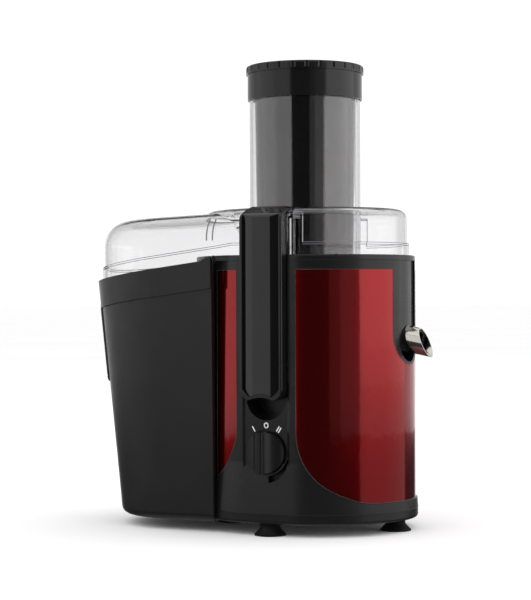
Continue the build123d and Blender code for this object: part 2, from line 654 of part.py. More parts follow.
for name, side in (("front", FRONT), ("rear", REAR)):
    with BuildPart() as core:
        with BuildSketch(profile(side)):
            add(clamp_side(COVER_DEPTH))
            make_face()
        extrude(amount=CLAMP_HALF, both=True)

    with BuildPart() as recess:
        with BuildSketch(strip_face(side, COVER_BACK)):
            add(clamp_outline(BORDER))
            make_face()
        extrude(amount=40)
        add(core.part, mode=Mode.SUBTRACT)

    with BuildPart() as lever:
        with BuildSketch(profile(side)):
            add(clamp_side(0))
            make_face()
        extrude(amount=CLAMP_HALF, both=True)
        with BuildSketch(strip_face(side, CLAMP_BACK - 15)):
            add(clamp_outline(0))
            make_face()
        extrude(amount=60, mode=Mode.INTERSECT)
        long_edges = lever.edges().filter_by(Axis.Z).filter_by(
            lambda edge: abs(edge.center().Y - AXIS_Y) > CLAMP_FRONT - 1)
        fillet(long_edges, 1.6)
        add(recess.part, mode=Mode.SUBTRACT)
        side_block(CLAMP_HALF - 2.8, CLAMP_BACK - 1, CLAMP_FRONT - 5, 152.0, 254.0, Mode.SUBTRACT, (side,))
        with BuildSketch(spoutward(STRIP_X - STRIP)):
            with Locations((side * PIN_OUT, PIN_Z)):
                Circle(PIN_RADIUS + RUNNING)
        extrude(amount=2 * STRIP, mode=Mode.SUBTRACT)
    lever.part.label = f"clamp_{name}_lever"
    export_step(lever.part, f"parts/clamp_{name}_lever.step")

    with BuildPart() as cover:
        with BuildSketch(profile(side)):
            add(clamp_side(0))
            make_face()
        extrude(amount=CLAMP_HALF, both=True)
        with BuildSketch(strip_face(side, COVER_BACK + COVER_GAP)):
            add(clamp_outline(BORDER + COVER_GAP))
            make_face()
        extrude(amount=40, mode=Mode.INTERSECT)
        with BuildSketch(level(CLAMP_BOTTOM)):
            with Locations((STRIP_X, side * (CLAMP_FRONT - CROWN_RADIUS))):
                Circle(CROWN_RADIUS)
        extrude(amount=200, mode=Mode.INTERSECT)
        add(core.part, mode=Mode.SUBTRACT)
    cover.part.label = f"clamp_{name}_cover"
    export_step(cover.part, f"parts/clamp_{name}_cover.step")

    with BuildPart() as pin:
        with BuildSketch(spoutward(STRIP_X - STRIP + 1.4)):
            with Locations((side * PIN_OUT, PIN_Z)):
                Circle(PIN_RADIUS)
        extrude(amount=2 * STRIP - 2.8)
    pin.part.label = f"clamp_{name}_pin"
    export_step(pin.part, f"parts/clamp_{name}_pin.step")

# --- Speed knob and switch ------------------------------------------------------------------------
SWITCH_SHAFT = 3.0

with BuildPart() as speed_knob:
    with BuildSketch(Plane(origin=(AXIS_X + STRIP_X, AXIS_Y, KNOB_Z - KNOB_RADIUS - 2))):
        with BuildLine():
            Polyline((-20, -KNOB_BACK), (-20, -KNOB_FACE), (-16.2, -KNOB_FACE))
            ThreePointArc((-16.2, -KNOB_FACE), (-7.0, -84.2), (-3.3, -91.4))
            ThreePointArc((-3.3, -91.4), (-2.6, -92.3), (-1.4, -KNOB_FRONT))
            Line((-1.4, -KNOB_FRONT), (1.4, -KNOB_FRONT))
            ThreePointArc((1.4, -KNOB_FRONT), (2.6, -92.3), (3.3, -91.4))
            ThreePointArc((3.3, -91.4), (7.0, -84.2), (16.2, -KNOB_FACE))
            Polyline((16.2, -KNOB_FACE), (20, -KNOB_FACE), (20, -KNOB_BACK), (-20, -KNOB_BACK))
        make_face()
    extrude(amount=2 * KNOB_RADIUS + 4)
    with BuildSketch(strip_face(FRONT, KNOB_BACK - 1)):
        with Locations((0, KNOB_Z)):
            Circle(KNOB_RADIUS)
    extrude(amount=30, mode=Mode.INTERSECT)
    with BuildSketch(strip_face(FRONT, KNOB_BACK - 1)):
        with Locations((0, KNOB_Z)):
            Circle(SWITCH_SHAFT)
    extrude(amount=10, mode=Mode.SUBTRACT)
speed_knob.part.label = "speed_knob"
export_step(speed_knob.part, "parts/speed_knob.step")

with BuildPart() as switch_shaft:
    with BuildSketch(strip_face(FRONT, 56)):
        with Locations((0, KNOB_Z)):
            Circle(SWITCH_SHAFT)
    extrude(amount=KNOB_BACK + 9 - 56)
switch_shaft.part.label = "switch_shaft"
export_step(switch_shaft.part, "parts/switch_shaft.step")

with BuildPart() as switch_body:
    side_block(12.0, 50.0, WELL_FLOOR - 3.0, KNOB_Z - 12, KNOB_Z + 12, sides=(FRONT,))
    fillet(switch_body.edges().filter_by(Axis.Y), 2.0)
    with BuildSketch(strip_face(FRONT, 55)):
        with Locations((0, KNOB_Z)):
            Circle(SWITCH_SHAFT + RUNNING)
    extrude(amount=20, mode=Mode.SUBTRACT)
switch_body.part.label = "switch_body"
export_step(switch_body.part, "parts/switch_body.step")

# --- Pulp container -------------------------------------------------------------------------------
CONTAINER_FOOT = (-100.0, 67.4, 75.0)
CONTAINER_HEAD = (-109.5, 84.0, 78.6)
NOTCH_END = SHELF_END - 1.5
NOTCH_HALF = SHELF_HALF + 1.0
NOTCH_DROP = SHELF_DROP - 0.3


def container_outline(height, grow):
    """Plan of the container at a height: it widens evenly from its foot to its head."""
    rise = (height - CONTAINER_BOTTOM) / (LOFT_TOP - CONTAINER_BOTTOM)
    centre, end, half = (foot + rise * (head - foot) for foot, head in zip(CONTAINER_FOOT, CONTAINER_HEAD))
    end += grow
    half += grow
    with BuildSketch(level(height)) as outline:
        with BuildLine():
            EllipticalCenterArc((centre, 0), end, half, start_angle=90, arc_size=180)
            Polyline((centre, -half), (CONTAINER_MOUTH, -half), (CONTAINER_MOUTH, half), (centre, half))
        make_face()
    return outline.sketch


def container_loft(grow):
    """Tapered solid of the container's outer shape, grown or shrunk."""
    with BuildPart() as body:
        loft(sections=[container_outline(CONTAINER_BOTTOM, grow), container_outline(LOFT_TOP, grow)])
    return body.part


with BuildPart() as notch:
    extrude(hood_side(((NOTCH_END, 0), (-80, 0), (-80, rim_height(-80) - NOTCH_DROP),
                       (NOTCH_END, rim_height(NOTCH_END) - NOTCH_DROP))), amount=NOTCH_HALF, both=True)

with BuildPart() as container_cavity:
    add(container_loft(-CONTAINER_WALL))
    block(-220, 0, -90, 90, 0, CONTAINER_BOTTOM + CONTAINER_WALL, Mode.SUBTRACT)
    floor_edges = container_cavity.faces().sort_by(Axis.Z)[0].edges()
    fillet(floor_edges.filter_by(lambda edge: edge.center().X < AXIS_X - 52), 5.0)
    hug = HUG_GAP + CONTAINER_WALL
    ellipse_prism(BODY_A + hug, BODY_B + hug, 0, 300, Mode.SUBTRACT)
    block(NOTCH_END - 2.5, 0, -NOTCH_HALF - 2.5, NOTCH_HALF + 2.5, 0, 18.5, Mode.SUBTRACT)

BAND_GROW = 1.5

with BuildPart() as band:
    add(container_loft(BAND_GROW))
    extrude(hood_side(((-220, rim_height(-220) - BAND_HEIGHT), (0, rim_height(0) - BAND_HEIGHT), (0, 300),
                       (-220, 300))), amount=1.2 * BODY_B, both=True, mode=Mode.INTERSECT)

with BuildPart() as grip_pad:
    add(container_loft(2.2))
    block(-220, -150, -34, 34, 122, 192, Mode.INTERSECT)
    fillet(grip_pad.edges().filter_by(Axis.X), 10.0)

with BuildPart() as lugs:
    add(container_loft(BAND_GROW))
    add(container_loft(-0.9), mode=Mode.SUBTRACT)
    extrude(hood_side(((-68, rim_height(-68) - 1), (CONTAINER_MOUTH, rim_height(-60) - 1),
                       (CONTAINER_MOUTH, RIM_TOP - 1), (-54, RIM_TOP - 1.2), (-60, rim_height(-60) + 0.4))),
            amount=1.2 * BODY_B, both=True, mode=Mode.INTERSECT)

with BuildPart() as pulp_container:
    add(container_loft(0))
    foot_edges = pulp_container.faces().sort_by(Axis.Z)[0].edges()
    fillet(foot_edges.filter_by(lambda edge: edge.center().X < AXIS_X - 52), 6.5)
    add(band.part)
    add(grip_pad.part)
    extrude(hood_side(((-220, rim_height(-220)), (0, rim_height(0)), (0, 300), (-220, 300))),
            amount=1.2 * BODY_B, both=True, mode=Mode.SUBTRACT)
    ellipse_prism(BODY_A + HUG_GAP, BODY_B + HUG_GAP, 0, 300, Mode.SUBTRACT)
    add(container_cavity.part, mode=Mode.SUBTRACT)
    add(notch.part, mode=Mode.SUBTRACT)
    add(lugs.part)
pulp_container.part.label = "pulp_container"
export_step(pulp_container.part, "parts/pulp_container.step")

# --- Filter basket on its drive -------------------------------------------------------------------
with BuildPart() as filter_mesh:
    with BuildSketch(facing(FRONT)):
        with BuildLine():
            Polyline((BASKET_FOOT, BASKET_BOTTOM + 5.5), (BASKET_FOOT + 0.6, BASKET_BOTTOM + 5.5),
                     (BASKET_MOUTH + 0.6, BASKET_TOP - 4), (BASKET_MOUTH, BASKET_TOP - 4), close=True)
        make_face()
    revolve(axis=Axis((AXIS_X, AXIS_Y, 0), (0, 0, 1)))
filter_mesh.part.label = "filter_mesh"
export_step(filter_mesh.part, "parts/filter_mesh.step")

with BuildPart() as basket_rim:
    disc(BASKET_MOUTH + 2.0, BASKET_TOP - 4, BASKET_TOP)
    disc(BASKET_MOUTH - 1.4, BASKET_TOP - 5, BASKET_TOP + 1, Mode.SUBTRACT)
    fillet(basket_rim.faces().sort_by(Axis.Z)[-1].edges(), 1.0)
basket_rim.part.label = "basket_rim"
export_step(basket_rim.part, "parts/basket_rim.step")

with BuildPart() as basket_base:
    disc(BASKET_FOOT + 1.4, BASKET_BOTTOM, BASKET_BOTTOM + 5.5)
    disc(12.3, 157.0, BASKET_BOTTOM)
    disc(8.0, 156.0, BASKET_BOTTOM, Mode.SUBTRACT)
basket_base.part.label = "basket_base"
export_step(basket_base.part, "parts/basket_base.step")

with BuildPart() as grater_disc:
    disc(46.0, BASKET_BOTTOM + 5.5, BASKET_BOTTOM + 6.7)
    for ring_radius, teeth in ((12, 8), (19, 14), (26, 20), (33, 26), (40, 32)):
        with BuildSketch(level(BASKET_BOTTOM + 6.7)) as tooth_feet:
            with PolarLocations(ring_radius, teeth):
                Rectangle(1.0, 2.6, rotation=20)
        extrude(tooth_feet.sketch, amount=1.4)
grater_disc.part.label = "grater_disc"
export_step(grater_disc.part, "parts/grater_disc.step")

with BuildPart() as drive_coupling:
    disc(12.5, 152.0, 156.0)
    disc(8.0, 156.0, 168.0)
    with BuildSketch(level(157.0)):
        with PolarLocations(8.6, 6):
            Circle(1.2)
    extrude(amount=12, mode=Mode.SUBTRACT)
    disc(SHAFT_RADIUS, 151.0, 169.0, Mode.SUBTRACT)
drive_coupling.part.label = "drive_coupling"
export_step(drive_coupling.part, "parts/drive_coupling.step")

with BuildPart() as coupling_nut:
    with BuildSketch(level(168.0)):
        RegularPolygon(6.0, 6)
        Circle(SHAFT_RADIUS, mode=Mode.SUBTRACT)
    extrude(amount=3.2)
coupling_nut.part.label = "coupling_nut"
export_step(coupling_nut.part, "parts/coupling_nut.step")

with BuildPart() as shaft_seal:
    disc(12.0, DECK_TOP, DECK_TOP + 4)
    fillet(shaft_seal.faces().sort_by(Axis.Z)[-1].edges(), 1.5)
    disc(SHAFT_RADIUS + RUNNING, DECK_TOP - 1, DECK_TOP + 5, Mode.SUBTRACT)
shaft_seal.part.label = "shaft_seal"
export_step(shaft_seal.part, "parts/shaft_seal.step")

# --- Motor ----------------------------------------------------------------------------------------
BOLT_PLACES = ((30, 30), (30, -30), (-30, 30), (-30, -30))
STATOR_HALF = 36.0
STATOR_BOTTOM = 84.0
STATOR_TOP = 114.0
BORE = 24.6
YOKE_BORE = 32.0
BEARING_RADIUS = 11.0
BEARING_HEIGHT = 7.0
LOWER_PLATE = 38.0
UPPER_PLATE = 122.5
PLATE = 4.0


def sector(inner, outer, half_angle, bottom, top, mode=Mode.ADD):
    """Two ring sectors centred on the front and the rear, between two heights."""
    across = 2 * outer * tan(radians(half_angle / 2))
    edge_x = 2 * outer * sin(radians(half_angle))
    edge_y = 2 * outer * cos(radians(half_angle))
    with BuildSketch(level(bottom)) as ring:
        for side in (FRONT, REAR):
            with BuildLine():
                Polyline((0, 0), (-edge_x, side * edge_y), (-across, side * 2 * outer),
                         (across, side * 2 * outer), (edge_x, side * edge_y), close=True)
            make_face()
        Circle(outer, mode=Mode.INTERSECT)
        Circle(inner, mode=Mode.SUBTRACT)
    extrude(ring.sketch, amount=top - bottom, mode=mode)


with BuildPart() as motor_shaft:
    disc(SHAFT_RADIUS, LOWER_PLATE + 2, 172.0)
    chamfer(motor_shaft.edges().filter_by(GeomType.CIRCLE), 0.6)
motor_shaft.part.label = "motor_shaft"
export_step(motor_shaft.part, "parts/motor_shaft.step")

with BuildPart() as armature_core:
    disc(BORE - 1.0, 86.0, 112.0)
    with BuildSketch(level(85.0)):
        with PolarLocations(BORE - 5.0, 12):
            Rectangle(10.0, 2.6)
    extrude(amount=30, mode=Mode.SUBTRACT)
    disc(SHAFT_RADIUS, 80, 120, Mode.SUBTRACT)
armature_core.part.label = "armature_core"
export_step(armature_core.part, "parts/armature_core.step")

with BuildPart() as armature_windings:
    for low, high in ((78.0, 86.0), (112.0, 120.0)):
        disc(20.0, low, high)
    fillet(armature_windings.edges().filter_by(GeomType.CIRCLE), 3.0)
    with BuildSketch(level(85.0)):
        with PolarLocations(BORE - 7.0, 12):
            Rectangle(5.0, 2.4)
    extrude(amount=28)
    disc(SHAFT_RADIUS, 70, 130, Mode.SUBTRACT)
armature_windings.part.label = "armature_windings"
export_step(armature_windings.part, "parts/armature_windings.step")

with BuildPart() as commutator:
    disc(11.0, 50.0, 64.0)
    with BuildSketch(level(49.0)):
        with PolarLocations(11.0, 24):
            Rectangle(1.6, 0.5)
    extrude(amount=16, mode=Mode.SUBTRACT)
    disc(SHAFT_RADIUS, 49, 65, Mode.SUBTRACT)
commutator.part.label = "commutator"
export_step(commutator.part, "parts/commutator.step")

with BuildPart() as cooling_fan:
    disc(9.0, 66.0, 75.0)
    disc(33.0, 73.5, 75.0)
    with BuildSketch(level(66.0)):
        with PolarLocations(20.0, 11):
            Rectangle(25.0, 1.4, rotation=25)
    extrude(amount=8)
    disc(33.0, 60, 80, Mode.INTERSECT)
    disc(SHAFT_RADIUS, 60, 80, Mode.SUBTRACT)
cooling_fan.part.label = "cooling_fan"
export_step(cooling_fan.part, "parts/cooling_fan.step")

for name, low in (("lower_bearing", LOWER_PLATE + PLATE), ("upper_bearing", UPPER_PLATE + PLATE)):
    with BuildPart() as bearing:
        disc(BEARING_RADIUS, low, low + BEARING_HEIGHT)
        disc(BEARING_RADIUS - 2.0, low + BEARING_HEIGHT - 0.6, low + BEARING_HEIGHT + 1, Mode.SUBTRACT)
        disc(SHAFT_RADIUS + 2.0, low + BEARING_HEIGHT - 0.6, low + BEARING_HEIGHT)
        disc(SHAFT_RADIUS + RUNNING, low - 1, low + BEARING_HEIGHT + 1, Mode.SUBTRACT)
    bearing.part.label = name
    export_step(bearing.part, f"parts/{name}.step")

for name, plate, post_low, post_high in (("lower_bracket", LOWER_PLATE, LOWER_PLATE, STATOR_BOTTOM),
                                         ("upper_bracket", UPPER_PLATE, STATOR_TOP, UPPER_PLATE)):
    with BuildPart() as bracket:
        block(-STATOR_HALF, STATOR_HALF, -STATOR_HALF, STATOR_HALF, plate, plate + PLATE)
        fillet(bracket.edges().filter_by(Axis.Z), 6.0)
        disc(BEARING_RADIUS + 3.0, plate + PLATE, plate + PLATE + BEARING_HEIGHT)
        disc(BEARING_RADIUS, plate + PLATE, plate + PLATE + BEARING_HEIGHT + 1, Mode.SUBTRACT)
        disc(6.0, plate - 1, plate + PLATE + 1, Mode.SUBTRACT)
        disc(5.0, post_low, post_high, places=BOLT_PLACES)
        disc(2.2, post_low - 1, plate + PLATE + 50, Mode.SUBTRACT, BOLT_PLACES)
        with BuildSketch(level(plate - 1)):
            with PolarLocations(25, 4):
                Rectangle(12, 16)
        extrude(amount=PLATE + 2, mode=Mode.SUBTRACT)
    bracket.part.label = name
    export_step(bracket.part, f"parts/{name}.step")

with BuildPart() as stator_core:
    block(-STATOR_HALF, STATOR_HALF, -STATOR_HALF, STATOR_HALF, STATOR_BOTTOM, STATOR_TOP)
    fillet(stator_core.edges().filter_by(Axis.Z), 5.0)
    disc(YOKE_BORE, STATOR_BOTTOM - 1, STATOR_TOP + 1, Mode.SUBTRACT)
    sector(BORE, YOKE_BORE + 0.5, 50.0, STATOR_BOTTOM, STATOR_TOP)
    disc(2.2, STATOR_BOTTOM - 1, STATOR_TOP + 1, Mode.SUBTRACT, BOLT_PLACES)
stator_core.part.label = "stator_core"
export_step(stator_core.part, "parts/stator_core.step")

with BuildPart() as field_windings:
    sector(BORE + 1.0, YOKE_BORE - 0.5, 74.0, 78.0, 120.0)
    sector(BORE - 1.0, YOKE_BORE + 1.0, 52.0, STATOR_BOTTOM - 0.5, STATOR_TOP + 0.5, Mode.SUBTRACT)
field_windings.part.label = "field_windings"
export_step(field_windings.part, "parts/field_windings.step")

with BuildPart() as brush_holders:
    for direction in (-1, 1):
        low, high = sorted((13.0 * direction, 30.0 * direction))
        block(low, high, -5.5, 5.5, LOWER_PLATE + PLATE + 7.5, 62.0)
        foot_low, foot_high = sorted((15.0 * direction, 18.6 * direction))
        block(foot_low, foot_high, -5.5, 5.5, LOWER_PLATE + PLATE, 52.0)
        block(low, high, -3.5, 3.5, 53.5, 60.5, Mode.SUBTRACT)
brush_holders.part.label = "brush_holders"
export_step(brush_holders.part, "parts/brush_holders.step")

with BuildPart() as carbon_brushes:
    for direction in (-1, 1):
        low, high = sorted((11.06 * direction, 26.0 * direction))
        block(low, high, -3.5, 3.5, 53.5, 60.5)
carbon_brushes.part.label = "carbon_brushes"
export_step(carbon_brushes.part, "parts/carbon_brushes.step")

with BuildPart() as motor_bolts:
    disc(2.0, LOWER_PLATE - 3, UPPER_PLATE + PLATE, places=BOLT_PLACES)
    with BuildSketch(level(LOWER_PLATE - 3)):
        with Locations(*BOLT_PLACES):
            RegularPolygon(4.0, 6)
    extrude(amount=3.0)
motor_bolts.part.label = "motor_bolts"
export_step(motor_bolts.part, "parts/motor_bolts.step")

with BuildPart() as motor_dampers:
    disc(7.0, UPPER_PLATE + PLATE, DECK_BOTTOM, places=BOLT_PLACES)
    with BuildSketch(level(131.0)):
        with Locations(*BOLT_PLACES):
            Circle(8.0)
            Circle(5.8, mode=Mode.SUBTRACT)
    extrude(amount=2.6, mode=Mode.SUBTRACT)
motor_dampers.part.label = "motor_dampers"
export_step(motor_dampers.part, "parts/motor_dampers.step")

# --- Electrical pieces ----------------------------------------------------------------------------
with BuildPart() as interlock_switches:
    side_block(10.0, POCKET_FLOOR - WALL - 6.4, POCKET_FLOOR - WALL, 112.0, 123.0)
    fillet(interlock_switches.edges().filter_by(Axis.Y), 1.0)
interlock_switches.part.label = "interlock_switches"
export_step(interlock_switches.part, "parts/interlock_switches.step")

with BuildPart() as terminal_block:
    block(-86.0, -74.0, -16, 16, 40.0, 52.0)
    block(-90.4, -86.0, -6, 6, 42.0, 50.0)
    with BuildSketch(level(46.0)):
        with GridLocations(0, 8, 1, 4):
            with Locations((-80, 0)):
                Circle(2.4)
    extrude(amount=10, mode=Mode.SUBTRACT)
    oval_prism(SHELL, 30, 60, Mode.INTERSECT)
terminal_block.part.label = "terminal_block"
export_step(terminal_block.part, "parts/terminal_block.step")

with BuildPart() as suppression_capacitor:
    block(64.0, 80.0, -13, 13, 44.0, 68.0)
    fillet(suppression_capacitor.edges().filter_by(Axis.Z), 2.0)
    block(80.0, 90.4, -4, 4, 50.0, 60.0)
    oval_prism(SHELL, 30, 80, Mode.INTERSECT)
suppression_capacitor.part.label = "suppression_capacitor"
export_step(suppression_capacitor.part, "parts/suppression_capacitor.step")
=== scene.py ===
"""Centrifugal juicer: materials, marks, fine edges, light and camera round the CAD frame, in metres."""
import json
from math import cos, pi, radians, sin, tan

import bmesh
import bpy
from mathutils import Matrix, Vector


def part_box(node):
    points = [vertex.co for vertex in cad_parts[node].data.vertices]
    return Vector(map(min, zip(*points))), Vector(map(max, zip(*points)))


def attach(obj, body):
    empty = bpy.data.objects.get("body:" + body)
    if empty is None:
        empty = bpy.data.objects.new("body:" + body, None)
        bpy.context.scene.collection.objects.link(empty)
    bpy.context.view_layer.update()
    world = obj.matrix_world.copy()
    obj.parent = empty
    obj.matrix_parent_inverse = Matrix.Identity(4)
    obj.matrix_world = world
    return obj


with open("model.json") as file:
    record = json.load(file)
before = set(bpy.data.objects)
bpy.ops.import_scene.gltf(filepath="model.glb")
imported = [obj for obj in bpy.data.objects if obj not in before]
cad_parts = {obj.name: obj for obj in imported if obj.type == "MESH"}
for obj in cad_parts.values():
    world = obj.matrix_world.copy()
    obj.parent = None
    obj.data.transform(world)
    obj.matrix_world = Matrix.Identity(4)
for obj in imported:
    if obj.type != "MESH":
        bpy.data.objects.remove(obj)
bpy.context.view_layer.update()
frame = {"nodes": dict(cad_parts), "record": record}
nodes = frame["nodes"]

# --- Places taken from the frame ------------------------------------------------------------------
MM = 0.001
tube_low, tube_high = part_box("feed_tube")
AXIS = Vector(((tube_low.x + tube_high.x) / 2, (tube_low.y + tube_high.y) / 2, 0))
knob_low, knob_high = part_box("speed_knob")
KNOB = Vector(((knob_low.x + knob_high.x) / 2, knob_low.y, (knob_low.z + knob_high.z) / 2))
KNOB_RADIUS = (knob_high.z - knob_low.z) / 2
LEVEL = Vector((1, 1, 0))
CLEAR_OF_ALL = 0.2


def touch(node, start, direction):
    """Where a line from a start point first meets a CAD node."""
    met, where, _, _ = nodes[node].ray_cast(start, Vector(direction))
    if not met:
        raise ValueError(f"the line misses {node}")
    return where


def add_piece(name, data, body):
    """A visual piece that rides on a body."""
    piece = bpy.data.objects.new(name, data)
    bpy.context.scene.collection.objects.link(piece)
    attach(piece, body)


# --- Node helpers ---------------------------------------------------------------------------------
def shader(name):
    """A new node material, its Principled shader and a function that adds a node and sets its inputs."""
    made = bpy.data.materials.new(name)
    made.use_nodes = True
    tree = made.node_tree
    principled = tree.nodes["Principled BSDF"]

    def add(kind, links=(), **values):
        node = tree.nodes.new(kind)
        for key, value in values.items():
            if key in node.inputs:
                node.inputs[key].default_value = value
            else:
                setattr(node, key, value)
        for key, source in dict(links).items():
            tree.links.new(source, node.inputs[key])
        return node

    return made, principled, add, tree.links.new


def object_place(add, stretch=(1, 1, 1)):
    """Object coordinates, which are the frame's own metres, stretched per axis."""
    source = add("ShaderNodeTexCoord")
    return add("ShaderNodeMapping", {"Vector": source.outputs["Object"]}, Scale=stretch).outputs["Vector"]


def noise(add, where, scale, detail=3.0, roughness=0.5):
    """Fractal noise at a scale per metre."""
    made = add("ShaderNodeTexNoise", {"Vector": where}, Scale=scale, Detail=detail, Roughness=roughness)
    return made.outputs["Fac"]


def remap(add, value, low, high, from_low=0.3, from_high=0.7):
    """A value carried from one range to another."""
    made = add("ShaderNodeMapRange", {"Value": value})
    for key, number in (("From Min", from_low), ("From Max", from_high), ("To Min", low), ("To Max", high)):
        made.inputs[key].default_value = number
    return made.outputs["Result"]


def tint(add, value, dark, light, low=0.35, high=0.65):
    """A colour between two, by a value."""
    ramp = add("ShaderNodeValToRGB", {"Fac": value})
    ramp.color_ramp.elements[0].position = low
    ramp.color_ramp.elements[0].color = (*dark, 1)
    ramp.color_ramp.elements[1].position = high
    ramp.color_ramp.elements[1].color = (*light, 1)
    return ramp.outputs["Color"]


def bump(add, heights, strength, distance):
    """A normal from a height."""
    made = add("ShaderNodeBump", {"Height": heights}, Strength=strength, Distance=distance)
    return made.outputs["Normal"]


def shade(colour, factor):
    """A colour made darker or lighter by a factor."""
    return tuple(min(1.0, channel * factor) for channel in colour)


# --- Materials ------------------------------------------------------------------------------------
FLOW_SHARE = 0.35


def moulded(name, colour, rough, grain=2600, grain_depth=0.02, spread=0.12, specular=0.5):
    """Moulded plastic: an eroded satin grain, faint flow marks and a little colour drift."""
    made, principled, add, link = shader(name)
    where = object_place(add)
    drift = noise(add, where, 18, 4)
    varied = tint(add, drift, shade(colour, 1 - spread), shade(colour, 1 + spread))
    link(varied, principled.inputs["Base Color"])
    link(remap(add, noise(add, where, 55, 5), rough - 0.04, rough + 0.05), principled.inputs["Roughness"])
    pores = noise(add, where, grain, 2, 0.6)
    flow = noise(add, object_place(add, (1, 1, 0.25)), 140, 2)
    both = add("ShaderNodeMath", operation="MULTIPLY_ADD")
    link(flow, both.inputs[0])
    both.inputs[1].default_value = FLOW_SHARE
    link(pores, both.inputs[2])
    link(bump(add, both.outputs["Value"], 0.35, grain_depth * MM), principled.inputs["Normal"])
    principled.inputs["Specular IOR Level"].default_value = specular
    return made


def polished(name, colour, rough=0.07, metallic=0.0, coat=0.6):
    """High-gloss plastic: a very slight waviness and dust-fine wear in its roughness."""
    made, principled, add, link = shader(name)
    where = object_place(add)
    drift = noise(add, where, 12, 3)
    link(tint(add, drift, shade(colour, 0.88), shade(colour, 1.12)), principled.inputs["Base Color"])
    link(remap(add, noise(add, where, 90, 4), rough * 0.85, rough * 1.2), principled.inputs["Roughness"])
    link(bump(add, noise(add, where, 30, 1), 0.03, 0.03 * MM), principled.inputs["Normal"])
    principled.inputs["Metallic"].default_value = metallic
    principled.inputs["Coat Weight"].default_value = coat
    principled.inputs["Coat Roughness"].default_value = 0.03
    return made


def lacquer(name, colour):
    """Metallic lacquer: aluminium flakes in a tinted base under a clear coat with slight orange peel."""
    made, principled, add, link = shader(name)
    where = object_place(add)
    flakes = add("ShaderNodeTexVoronoi", {"Vector": where}, Scale=3200.0)
    flake_tint = tint(add, flakes.outputs["Distance"], shade(colour, 1.18), shade(colour, 0.84), 0.1, 0.7)
    link(flake_tint, principled.inputs["Base Color"])
    link(remap(add, noise(add, where, 300, 4), 0.15, 0.19), principled.inputs["Roughness"])
    link(bump(add, flakes.outputs["Distance"], 0.04, 0.01 * MM), principled.inputs["Normal"])
    link(bump(add, noise(add, where, 260, 1), 0.02, 0.01 * MM), principled.inputs["Coat Normal"])
    principled.inputs["Metallic"].default_value = 0.98
    principled.inputs["Coat Weight"].default_value = 0.6
    principled.inputs["Coat IOR"].default_value = 1.58
    principled.inputs["Coat Roughness"].default_value = 0.05
    return made


def clear(name, colour=(0.925, 0.921, 0.928), rough=0.02):
    """Clear moulded plastic with faint flow lines."""
    made, principled, add, link = shader(name)
    where = object_place(add, (1, 1, 0.4))
    link(tint(add, noise(add, where, 9, 2), shade(colour, 0.985), colour), principled.inputs["Base Color"])
    link(remap(add, noise(add, where, 70, 4), rough * 0.5, rough * 2), principled.inputs["Roughness"])
    link(bump(add, noise(add, where, 26, 2), 0.06, 0.10 * MM), principled.inputs["Normal"])
    principled.inputs["Transmission Weight"].default_value = 1.0
    principled.inputs["IOR"].default_value = 1.49
    return made


def metal(name, colour, rough, along=(1, 1, 1), lines=900, depth=0.004):
    """Worked metal: fine lines along one direction, with roughness that follows them."""
    made, principled, add, link = shader(name)
    where = object_place(add, along)
    brushed = noise(add, where, lines, 3, 0.65)
    link(tint(add, brushed, shade(colour, 0.86), shade(colour, 1.08)), principled.inputs["Base Color"])
    link(remap(add, brushed, rough * 0.75, rough * 1.3), principled.inputs["Roughness"])
    link(bump(add, brushed, 0.3, depth * MM), principled.inputs["Normal"])
    principled.inputs["Metallic"].default_value = 1.0
    return made


def rubber(name, colour):
    """Soft rubber with a dull bloom."""
    made, principled, add, link = shader(name)
    where = object_place(add)
    link(tint(add, noise(add, where, 160, 5), colour, shade(colour, 1.5)), principled.inputs["Base Color"])
    link(remap(add, noise(add, where, 90, 3), 0.5, 0.7), principled.inputs["Roughness"])
    link(bump(add, noise(add, where, 1800, 2), 0.25, 0.03 * MM), principled.inputs["Normal"])
    principled.inputs["Specular IOR Level"].default_value = 0.2
    return made


def perforated(name, colour):
    """Thin steel sheet full of small round holes."""
    made, principled, add, link = shader(name)
    where = object_place(add)
    pattern = add("ShaderNodeTexVoronoi", {"Vector": where}, Scale=900.0, Randomness=0.15)
    link(remap(add, pattern.outputs["Distance"], 0.0, 1.0, 0.32, 0.36), principled.inputs["Alpha"])
    link(tint(add, noise(add, where, 300, 3), shade(colour, 0.85), colour), principled.inputs["Base Color"])
    link(bump(add, pattern.outputs["Distance"], 0.4, 0.05 * MM), principled.inputs["Normal"])
    principled.inputs["Metallic"].default_value = 1.0
    principled.inputs["Roughness"].default_value = 0.25
    return made


